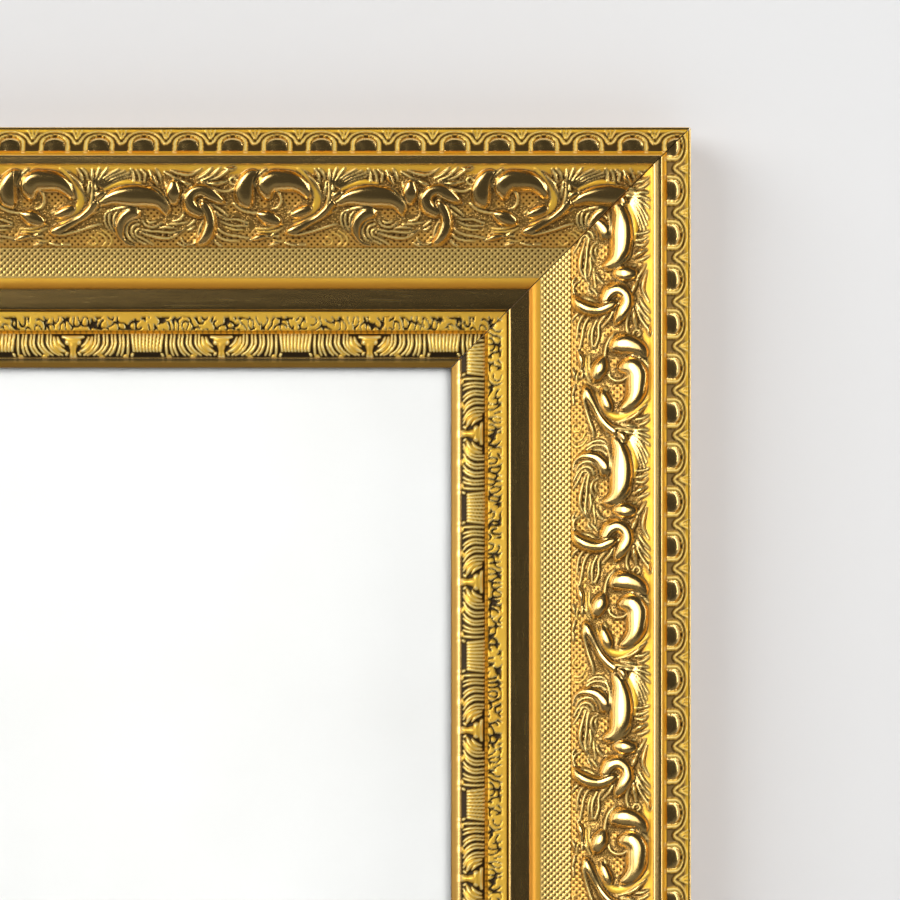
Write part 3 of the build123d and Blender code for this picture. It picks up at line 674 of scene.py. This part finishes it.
# First colour at factor 0, second at 1
def mixColour(tree, factor, first, second):
    first, second = (value if isinstance(value, bpy.types.NodeSocket) else (*value, 1.0) for value in (first, second))
    return addNode(tree, "Mix", {0: factor, 6: first, 7: second}, data_type="RGBA").outputs[2]


# Cloudy noise, its scale in features to the metre
def noiseNode(tree, place, scale, detail=3.0, roughness=0.5):
    inputs = {"Vector": place, "Scale": scale, "Detail": detail, "Roughness": roughness}
    return addNode(tree, "TexNoise", inputs).outputs["Fac"]


# Place in the piece's own coordinates
def objectPlace(tree):
    return addNode(tree, "TexCoord").outputs["Object"]


# Place scaled along each axis
def stretchPlace(tree, place, scale):
    return addNode(tree, "Mapping", {"Vector": place, "Scale": scale}).outputs["Vector"]


# Place along, across and out of the run
def grainPlace(tree):
    return addNode(tree, "Attribute", attribute_name="grain").outputs["Vector"]


# Colour, roughness and bumps of a shader, the bumps' depth in metres, and any other inputs
def dressShader(tree, shader, colour, roughness, height, strength, depth, others=None):
    bump = addNode(tree, "Bump", {"Height": height, "Strength": strength, "Distance": depth})
    setInputs(tree, shader, {"Base Color": colour, "Roughness": roughness, "Normal": bump.outputs[0], **(others or {})})


# Gilding: burnished on the crests and matt on the ground, an orange tone on the stippled and woven grounds and painted
# orange shade in the hollows, painted dark shade in the deepest grooves, a paler tone with painted highlights on the
# crests, with raised dots where the ground is stippled and a net of small holes where it is woven, the ground between
# the dots and the holes painted dark as shade
gilding = {
    "burnished": (0.95, 0.63, 0.22),
    "paleToneAndHighlight": (1.0, 0.85, 0.36),  # painted highlight on crests and edges, and an even paler tone on the woven panel
    "matt": (0.88, 0.53, 0.045),
    "worn": (0.83, 0.46, 0.032),
    # orange tone of the stippled and woven grounds, and painted orange shade in hollows and grooves
    "orangeToneAndShade": (0.62, 0.24, 0.008),
    # painted shade in creases, in the stippled ground's low places and in the net's holes
    "gap": (0.13, 0.057, 0.006),
    # painted dark shade in the deepest grooves, pockets and the dark cove, and a darker tone on some bands
    "darkToneAndShade": (0.035, 0.021, 0.008),
    "metallic": (0.45, 1.0),  # from the matt ground to the burnished crests
    "roughness": (0.46, 0.25),
    "uneven": 0.16,  # spread of the roughness
    "specular": 0.2,
    "coat": (0.03, 0.08),  # weight and roughness
    "dots": 1250.0,  # stippled ground, dots to the metre
    "dotRise": 0.35,  # millimetres
    "netDepth": 0.11,
    "netPitch": 0.00205,  # metres between a row's holes, the next row's half a pitch along
}


# Product of two cosines across the grain, 1 at the net's holes and -1 on its knots
def netWave(tree):
    turns = 2 * math.pi / gilding["netPitch"]
    place = addNode(tree, "SeparateXYZ", {0: stretchPlace(tree, grainPlace(tree), (turns, turns, turns))})
    return times(tree, *(mathNode(tree, "COSINE", place.outputs[axis]) for axis in (0, 1)))


# Gold mixed step by step: matt, worn, orange tone with painted shade, burnished, pale tone with painted highlights,
# painted gap shade, dark tone with painted shade, each by its own value at the point
def makeGilding(name, orangeShare, roughShift):
    material, tree, shader = newMaterial(name)
    orangeToneAndShade, darkToneAndShade, polish, paleToneAndHighlight, stipple, net = (
        addNode(tree, "Attribute", attribute_name=key).outputs["Fac"] for key in finishValues)
    place = objectPlace(tree)
    cloud = noiseNode(tree, place, 55.0, 4.0)
    fine = noiseNode(tree, stretchPlace(tree, grainPlace(tree), (60, 900, 900)), 1.0, 3.0, 0.6)
    cells = addNode(tree, "TexVoronoi", {"Vector": place, "Scale": gilding["dots"], "Randomness": 0.8})
    raised = times(tree, mapRange(tree, cells.outputs["Distance"], 0.55, 0.12), stipple)
    # the ground between the raised dots, painted dark as shade
    sunk = mathNode(tree, "SUBTRACT", stipple, raised)
    burnish = mathNode(tree, "MAXIMUM", polish, times(tree, raised, 0.5))
    wave = netWave(tree)
    # the net's holes, painted dark as shade
    hole = times(tree, mapRange(tree, wave, 0.15, 0.7), net)
    matt = mixColour(tree, mapRange(tree, cloud, 0.4, 0.65), gilding["matt"], gilding["worn"])
    ground = mixColour(tree, times(tree, orangeToneAndShade, orangeShare), matt, gilding["orangeToneAndShade"])
    leaf = mixColour(tree, paleToneAndHighlight, mixColour(tree, burnish, ground, gilding["burnished"]), gilding["paleToneAndHighlight"])
    # painted shade in the stippled ground's low places and the net's holes
    gaps = mathNode(tree, "MULTIPLY_ADD", sunk, 0.6, hole, clamp=True)
    # painted dark shade in grooves, creases and pockets, over any darker tone
    colour = mixColour(tree, darkToneAndShade, mixColour(tree, gaps, leaf, gilding["gap"]), gilding["darkToneAndShade"])
    rough = mapRange(tree, burnish, 0.0, 1.0, *(end + roughShift for end in gilding["roughness"]))
    rough = mathNode(tree, "MULTIPLY_ADD", fine, gilding["uneven"], rough)
    rough = mathNode(tree, "SUBTRACT", rough, gilding["uneven"] / 2)
    dotted = times(tree, raised, gilding["dotRise"])
    height = mathNode(tree, "MULTIPLY_ADD", times(tree, wave, net), -gilding["netDepth"], dotted)
    dressShader(tree, shader, colour, rough, height, 1.0, mm, {
        "Metallic": mapRange(tree, burnish, 0.0, 1.0, *gilding["metallic"]),
        "Specular IOR Level": gilding["specular"],
        "Coat Weight": gilding["coat"][0],
        "Coat Roughness": gilding["coat"][1],
    })
    return material


# Plain finish: dark to pale between two levels of a broad noise, flecks between two levels of a fine one, and bumps of
# the fine one; a noise is given by its scale on each axis, detail and roughness
def makePlain(name, size):
    material, tree, shader = newMaterial(name)
    place = size["place"](tree)
    broad, fine = (
        noiseNode(tree, stretchPlace(tree, place, scale), 1.0, *rest) for scale, *rest in (size["broad"], size["fine"]))
    colour = rampNode(tree, broad, *size["tones"])
    if "flecks" in size:
        low, high, fleck = size["flecks"]
        colour = mixColour(tree, mapRange(tree, fine, low, high), colour, fleck)
    dressShader(tree, shader, colour, size["roughness"], fine, *size["bump"], {"Metallic": size.get("metallic", 0.0)})
    return material


# Raw softwood of the backs: long pale grain along each rail, darker lines
softwood = {
    "place": grainPlace, "broad": ((4, 90, 90), 4.0, 0.55), "fine": ((9, 420, 420), 2.0, 0.6),
    "tones": ((0.3, (0.40, 0.235, 0.105)), (0.62, (0.62, 0.42, 0.22))),
    "flecks": (0.56, 0.72, (0.24, 0.125, 0.05)),
    "roughness": 0.72, "bump": (0.25, 0.0002),
}
# Ochre bole on the outer edges: matt paint with brush drag along the run and thin places
edgeBole = {
    "place": grainPlace, "broad": ((14, 300, 300), 5.0, 0.6), "fine": ((14, 300, 300), 5.0, 0.6),
    "tones": ((0.36, (0.33, 0.15, 0.04)), (0.6, (0.50, 0.27, 0.055))),
    "roughness": 0.5, "metallic": 0.25, "bump": (0.2, 0.0002),
}
goldRail = makeGilding("gildedRail", 0.85, 0.0)
goldScroll = makeGilding("gildedScroll", 0.8, -0.02)
goldEgg = makeGilding("gildedEggAndDart", 0.8, 0.0)
goldSlip = makeGilding("gildedSlip", 0.75, 0.0)
rawPine = makePlain("rawPine", softwood)
ochreBole = makePlain("ochreBole", edgeBole)

# Rail outline, from its back inner corner round
railShape = outline(
    (26.6, 0.04),
    ((79.0, 0.04), 6, rawSide),
    ((80.0, 1.0), 2, ochreEdge),
    ((80.0, 22.7), 4, ochreEdge),
    ((79.2, 23.6), 4, rimBand, (80.0, 23.6)),
    ((79.15, 22.0), 1, rimBand),
    ((70.8, 27.0), 2, mattBand),
    ((70.75, 28.5), 2, mattBand),
    ((70.0, 29.8), 6, mattBand, (70.0, 28.5)),
    ((70.0, 32.8), 2, mattBand),
    ((69.1, 33.6), 8, burnishedBand, (70.0, 33.6)),
    ((67.5, 33.33), 3, burnishedBand),
    ((67.0, 32.5), 5, burnishedBand, (67.0, 33.25)),
    ((67.0, 30.7), 2, mattBand),
    ((40.0, 18.7), 2, burnishedBand),
    ((40.0, 19.2), 1, burnishedBand),
    ((29.9, 16.9), 2, burnishedBand),
    ((29.85, 17.6), 1, mattBand),
    ((26.3, 15.0), 10, mattBand, (26.6, 17.75)),
    ((26.2, 14.4), 1, mattBand),
    ((20.3, 14.4), 3, burnishedBand),
    ((19.2, 13.3), 6, burnishedBand, (19.2, 14.4)),
    ((19.2, 10.05), 2, burnishedBand),
    ((26.6, 10.05), 2, rawSide),
    ((26.6, 0.04), 2, rawSide),
)

# Woven panel let into the rail, its outer part of the same slope as the rail's hollow
panelShape = outline(
    (29.95, 17.0),
    ((39.95, 19.3), 1, rawSide),
    ((39.95, 19.75), 1, rawSide),
    ((29.95, 17.55), 8, ornamentFace, (34.9, 18.1)),
    ((29.95, 17.0), 1, rawSide),
)

# Scroll run, its ground dipping below the straight line so that a plain cove is left under the fillet
scrollPlace = np.linspace(66.95, 40.05, scrollRun["rows"], endpoint=False)
scrollV = scrollPlace - 40.0
scrollLine = 19.8 + scrollV * 12.0 / 27.0 - scrollRun["ground"]
scrollLine = scrollLine - scrollRun["dip"] * smooth(0.0, 9.0, scrollV) * smooth(27.0, 23.6, scrollV)
scrollFront = np.stack([scrollPlace, scrollLine], axis=1)
scrollShape = {
    "points": np.concatenate([[(40.05, 18.75), (66.95, 30.75)], scrollFront, [(40.05, 19.5)]]),
    "zones": np.array([rawSide] * 2 + [ornamentFace] * scrollRun["rows"] + [rawSide]),
}

# Egg run, a straight slope that falls outwards from a small cove at the fillet's foot
eggShape = outline(
    (70.82, 27.1),
    ((79.12, 22.2), 1, rawSide),
    ((79.12, 23.1), 1, rawSide),
    ((71.75, 27.7), 23, ornamentFace),
    ((71.62, 27.75), 1, ornamentFace),
    ((70.82, 28.6), 4, coveFace, (70.95, 27.9)),
    ((70.82, 27.1), 1, rawSide),
)

# Slip outline, from its back inner corner round
slipShape = outline(
    (6.5, 0.04),
    ((26.4, 0.04), 3, rawSide),
    ((26.4, 9.8), 1, rawSide),
    ((19.0, 9.8), 1, rawSide),
    ((19.0, 12.1), 1, plainBand),
    ((18.6, 12.6), 2, plainBand, (19.0, 12.6)),
    ((12.3, 11.8), 19, wormBand),
    ((11.25, 11.1), 4, grooveBand, (11.75, 10.4)),
    ((3.2, 9.85), 27, shellBand, (6.6, 12.7)),
    ((3.1, 9.55), 1, plainBand),
    ((2.1, 9.2), 2, plainBand),
    ((0.8, 8.75), 2, plainBand),
    ((0.0, 7.8), 4, plainBand, (0.0, 8.5)),
    ((0.0, 6.72), 1, plainBand),
    ((6.5, 6.72), 2, rawSide),
    ((6.5, 0.04), 1, rawSide),
)


# Number of columns that gives a step along the run at a place across the section
def columnsFor(side, place, step):
    return int(2 * (sideSizes[side][1] + place) / step) + 1


for side in sideSizes:
    bars = [
        ("rail_", "gilded_wood",
         mitredBar("gilded_rail_" + side, side, railShape, 61,
                   [rawPine, goldRail, ochreBole], [0, 1, 2, 1, 1], railFinish, 40.0)),
        ("rail_", "gilded_wood",
         mitredBar("woven_panel_" + side, side, panelShape, columnsFor(side, 35, 3.0),
                   [goldRail, rawPine], [0, 0], panelFinish, 75.0)),
        ("egg_and_dart_", "gilded_composition",
         mitredBar("egg_and_dart_run_" + side, side, eggShape, columnsFor(side, 75, eggRun["columnStep"]),
                   [goldEgg, rawPine], [0, 0, 0], eggRelief, 89.0)),
        ("slip_", "gilded_slip",
         mitredBar("gilded_slip_" + side, side, slipShape, columnsFor(side, 9, slipRun["columnStep"]),
                   [rawPine, goldSlip], [0, 1, 1, 1, 1], slipRelief, 75.0)),
    ]
    for half, ends in (("first", (-1.0, 0.0)), ("second", (0.0, 1.0))):
        columns = columnsFor(side, 54, scrollRun["columnStep"]) // 2
        bars.append(("scroll_run_", "gilded_composition",
                     mitredBar(f"acanthus_scroll_{side}_{half}", side, scrollShape, columns,
                               [goldScroll, rawPine], [0, 0], scrollRelief, 89.0, ends)))
    for node, slot, piece in bars:
        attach(piece, "frame")
        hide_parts(node + side)
    print(side, "rail built:", {piece.name: len(piece.data.polygons) for _, _, piece in bars})

# Plated steel of the buttons, straps, rings and screws: drawn zinc with a faint spangle and finger marks
plating = {"bright": (0.74, 0.73, 0.70), "dull": (0.50, 0.50, 0.49)}


# Dull to bright by a fine noise, rougher where a broad one leaves marks
def makePlating(name, brightness):
    material, tree, shader = newMaterial(name)
    place = objectPlace(tree)
    spangle = noiseNode(tree, place, 420.0, 2.0, 0.6)
    marks = noiseNode(tree, place, 70.0, 4.0)
    dull, bright = (tuple(part * brightness for part in plating[tone]) for tone in ("dull", "bright"))
    metal = rampNode(tree, spangle, (0.35, dull), (0.65, bright))
    rough = mapRange(tree, marks, 0.0, 1.0, 0.22, 0.5)
    dressShader(tree, shader, metal, rough, spangle, 0.08, 0.0002, {"Metallic": 1.0})
    return material


# Picture glass: clear, a little green at its edges, with a slight float ripple
def makeGlass():
    material, tree, shader = newMaterial("pictureGlass")
    ripple = noiseNode(tree, objectPlace(tree), 6.0, 1.0)
    clear = {"IOR": 1.5, "Transmission Weight": 1.0}
    dressShader(tree, shader, (0.985, 0.995, 0.99, 1.0), 0.0, ripple, 0.02, 0.0002, clear)
    return material


# Pressed fibreboard: mottled brown with short pale fibres, dull sheen
fibreboard = {
    "place": objectPlace, "broad": ((45, 45, 45), 5.0, 0.65), "fine": ((700, 700, 220), 3.0, 0.5),
    "tones": ((0.3, (0.155, 0.08, 0.038)), (0.7, (0.25, 0.14, 0.068))),
    "flecks": (0.58, 0.75, (0.40, 0.26, 0.14)),
    "roughness": 0.62, "bump": (0.3, 0.00015),
}
# Picture card: smooth white board with a faint tooth
whiteBoard = {
    "place": objectPlace, "broad": ((18, 18, 18), 2.0, 0.5), "fine": ((1400, 1400, 1400), 3.0, 0.5),
    "tones": ((0.3, (0.93, 0.925, 0.915)), (0.7, (0.95, 0.947, 0.94))),
    "roughness": 0.85, "bump": (0.12, 0.0001),
}
# Bumper rubber: dark grey with bloom and a moulded grain
softRubber = {
    "place": objectPlace, "broad": ((160, 160, 160), 4.0, 0.5), "fine": ((1800, 1800, 1800), 2.0, 0.5),
    "tones": ((0.3, (0.018, 0.018, 0.019)), (0.75, (0.05, 0.05, 0.052))),
    "roughness": 0.68, "bump": (0.2, 0.0001),
}
zincPlate = makePlating("zincPlate", 1.0)
nailSteel = makePlating("nailSteel", 0.6)
bumperRubber = makePlain("bumperRubber", softRubber)
nodeFinish = {
    "turn_button_": zincPlate, "hanger_": zincPlate, "rail_v_nails": nailSteel, "slip_v_nails": nailSteel,
    "glass": makeGlass(), "picture_card": makePlain("whiteCard", whiteBoard),
    "backing_board": makePlain("pressedFibreboard", fibreboard),
}
for name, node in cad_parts.items():
    for start, material in nodeFinish.items():
        if name.startswith(start):
            node.data.materials.clear()
            node.data.materials.append(material)
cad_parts["glass"].visible_shadow = False

# Pan-head screws: a turned head with a cross recess and a plain shank
panScrew = {
    "headRadius": 3.3, "headHeight": 1.8, "shankRadius": 1.7, "shankLength": 7.6,
    "slotHalf": 0.5, "slotReach": 2.0, "slotDepth": 1.1, "spokes": 48, "crownRings": 16, "tipLength": 1.5,
}
buttonScrewY, strapScrewY = -3.6, -3.0  # underside of the heads
buttonSpots = [(-85, 209), (85, 209), (159, 115), (159, -115), (85, -209), (-85, -209), (-159, -115), (-159, 115)]
strapSpots = [(hand * place, 140) for hand in (-1, 1) for place in (196, 209.5)]
bumperSpots = [(210, 213), (-210, 213), (210, -213), (-210, -213)]


# Turned piece: a profile of radius and height carried round an axis that points to the wall, closed at both poles
def turnedGrid(radius, height, spokes):
    angle = np.arange(spokes) / spokes * 2 * math.pi
    x = radius[:, None] * np.cos(angle)
    z = radius[:, None] * np.sin(angle)
    return x, height[:, None] + 0 * x, z


# Set of like turned pieces as one mesh, each shifted to its own spot: four-sided faces between rings, a cap at each end
def turnedSet(name, x, y, z, spots, baseY, material):
    rings, spokes = x.shape
    spoke = np.arange(spokes)
    upper = np.arange(rings - 1)[:, None] * spokes
    lower, after = upper + spokes, (spoke + 1) % spokes
    faces = np.stack([upper + spoke, lower + spoke, lower + after, upper + after], axis=-1).reshape(-1, 4)
    points, quads, caps = [], [], []
    for number, (spotX, spotZ) in enumerate(spots):
        first = number * rings * spokes
        points.append(np.stack([x + spotX, y + baseY, z + spotZ], axis=-1).reshape(-1, 3) * mm)
        quads.append(faces + first)
        caps += [spoke + first, (spoke + (rings - 1) * spokes)[::-1] + first]
    quads = np.concatenate(quads)
    piece = putMesh(name, np.concatenate(points), quads, caps, [material], np.zeros(len(quads) + len(caps)), {})
    piece.data.set_sharp_from_angle(angle=math.radians(38))
    return piece


# Screw: profile from the head's crown down to the shank's tip, the cross pressed into the crown
def makeScrews(name, spots, baseY):
    size = panScrew
    head, shank, length = size["headRadius"], size["shankRadius"], size["shankLength"]
    crown = np.linspace(0.12, 1.0, size["crownRings"])
    radius = np.concatenate([head * crown, [head, shank, shank, 0.3]])
    dome = size["headHeight"] * (0.45 + 0.55 * np.sqrt(np.clip(1 - crown ** 2.6, 0, 1)))
    height = np.concatenate([dome, [0.0, 0.0, -length + size["tipLength"], -length]])
    x, y, z = turnedGrid(radius, height, size["spokes"])
    cut = smooth(size["slotHalf"] + 0.12, size["slotHalf"] - 0.12, np.minimum(np.abs(x), np.abs(z)))
    cut = cut * smooth(size["slotReach"] + 0.15, size["slotReach"] - 0.15, np.hypot(x, z))
    y[:len(crown)] -= size["slotDepth"] * cut[:len(crown)]
    return turnedSet(name, x, y, z, spots, baseY, zincPlate)


# Bumper: a rubber foot with a rounded shoulder and a shallow dish on its face
def makeBumpers():
    radius = np.array([0.2, 2.0, 3.4, 4.2, 4.7, 5.05, 5.3, 5.5, 5.9, 6.0, 6.0, 5.8])
    height = np.array([4.6, 4.65, 4.85, 5.0, 5.0, 4.9, 4.65, 4.2, 1.0, 0.6, 0.1, 0.0])
    x, y, z = turnedGrid(radius, height, 40)
    return turnedSet("rubber_bumpers", x, y, z, bumperSpots, moulding["backY"], bumperRubber)


for piece, node, slot in (
    (makeScrews("button_screws_turned", buttonSpots, buttonScrewY), "turn_button_screws", "plated_steel"),
    (makeScrews("strap_screws_turned", strapSpots, strapScrewY), "hanger_screws", "plated_steel"),
    (makeBumpers(), "wall_bumpers", "bumper_rubber"),
):
    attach(piece, "frame")
    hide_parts(node)
print("fittings built")

# Studio: a pale wall behind the frame, a pale floor, boxes each side and a faint low one that the gilding mirrors,
# broad fills high on the left and in front that it doesn't, and one box behind
studio = {
    "wall": 0.64, "floor": 0.6, "surround": 0.05, "backdrop": 0.80,
    "reach": 4.0, "wallPlane": 0.0004, "floorLevel": -0.2756, "floorFront": -1.8,
}
softBoxes = {  # place, size, power, whether metal mirrors it, whether it lights matt surfaces
    "leftBox": ((-1.22, -1.46, 0.3), (1.8, 1.0), 10.5, True, False),
    "leftStrip": ((-1.06, -1.14, 0.3), (0.5, 1.0), 9.5, True, False),
    "farBox": ((-1.5, -0.42, 0.3), (0.5, 1.2), 4.2, True, False),
    "lowBox": ((0.05, -0.22, -0.22), (1.4, 0.26), 0.15, True, False),
    "rightBox": ((1.45, -0.36, 0.5), (0.2, 1.8), 9.0, True, True),
    "leftFill": ((-1.15, -1.35, 1.0), (1.6, 1.2), 27.0, False, True),
    "fillBox": ((1.0, -2.2, 0.7), (2.0, 1.4), 39.0, False, True),
    "backBox": ((0.5, 1.9, 0.9), (1.6, 1.2), 22.0, True, True),
}


# Flat stage sheet from its four corners, seen from the side its corners run anticlockwise on
def stageSheet(name, corners, material):
    mesh = bpy.data.meshes.new(name)
    mesh.from_pydata(corners, [], [(0, 1, 2, 3)])
    mesh.materials.append(material)
    sheet = bpy.data.objects.new(name, mesh)
    scene.collection.objects.link(sheet)
    return sheet


# Matt plaster with a faint tone, clear from behind so that the frame's back can be looked at
def makePlaster(name, tone):
    material, tree, shader = newMaterial(name)
    cloud = noiseNode(tree, objectPlace(tree), 3.0, 3.0)
    plaster = rampNode(tree, cloud, (0.2, (tone * 0.985,) * 3), (0.8, (tone,) * 3))
    setInputs(tree, shader, {"Base Color": plaster, "Roughness": 0.95, "Specular IOR Level": 0.1})
    behind = addNode(tree, "NewGeometry").outputs["Backfacing"]
    clear = addNode(tree, "BsdfTransparent").outputs[0]
    mix = addNode(tree, "MixShader", {0: behind, 1: shader.outputs[0], 2: clear})
    setInputs(tree, tree.nodes["Material Output"], {"Surface": mix.outputs[0]})
    return material


reach, plane, level, front = (studio[key] for key in ("reach", "wallPlane", "floorLevel", "floorFront"))
wallCorners = [(-reach, plane, level), (reach, plane, level), (reach, plane, reach), (-reach, plane, reach)]
floorCorners = [(-reach, front, level), (reach, front, level), (reach, plane, level), (-reach, plane, level)]
wall = stageSheet("wall", wallCorners, makePlaster("wallPlaster", studio["wall"]))
floor = stageSheet("floor", floorCorners, makePlaster("floorPlaster", studio["floor"]))
wall.visible_shadow = False
floor.visible_glossy = False

world = bpy.data.worlds.new("studioSurround")
scene.world = world
world.use_nodes = True
worldTree = world.node_tree
cameraRay = addNode(worldTree, "LightPath").outputs["Is Camera Ray"]
backdrop = mixColour(worldTree, cameraRay, (studio["surround"],) * 3, (studio["backdrop"],) * 3)
setInputs(worldTree, worldTree.nodes["Background"], {"Color": backdrop})


# Soft box turned to face the frame's centre, itself out of sight
def softBox(name, place, size, power, mirrored, lighting):
    lamp = bpy.data.lights.new(name, "AREA")
    lamp.shape = "RECTANGLE"
    lamp.size, lamp.size_y = size
    lamp.energy = power
    box = bpy.data.objects.new(name, lamp)
    box.location = place
    box.rotation_euler = (-box.location).to_track_quat("-Z", "Y").to_euler()
    box.visible_glossy, box.visible_diffuse, box.visible_camera = mirrored, lighting, False
    scene.collection.objects.link(box)


for name, settings in softBoxes.items():
    softBox(name, *settings)

# Camera square on to the frame, over its upper right corner
viewer = {"centre": (0.14467, 0.16733), "distance": 1.55, "planeY": -0.0286, "span": 0.3}
lens = bpy.data.cameras.new("viewer")
lens.sensor_width = 36.0
lens.lens = 36.0 * viewer["distance"] / viewer["span"]
lens.clip_start, lens.clip_end = 0.05, 50.0
camera = bpy.data.objects.new("viewer", lens)
camera.location = (viewer["centre"][0], viewer["planeY"] - viewer["distance"], viewer["centre"][1])
camera.rotation_euler = (math.pi / 2, 0, 0)
scene.collection.objects.link(camera)
scene.camera = camera
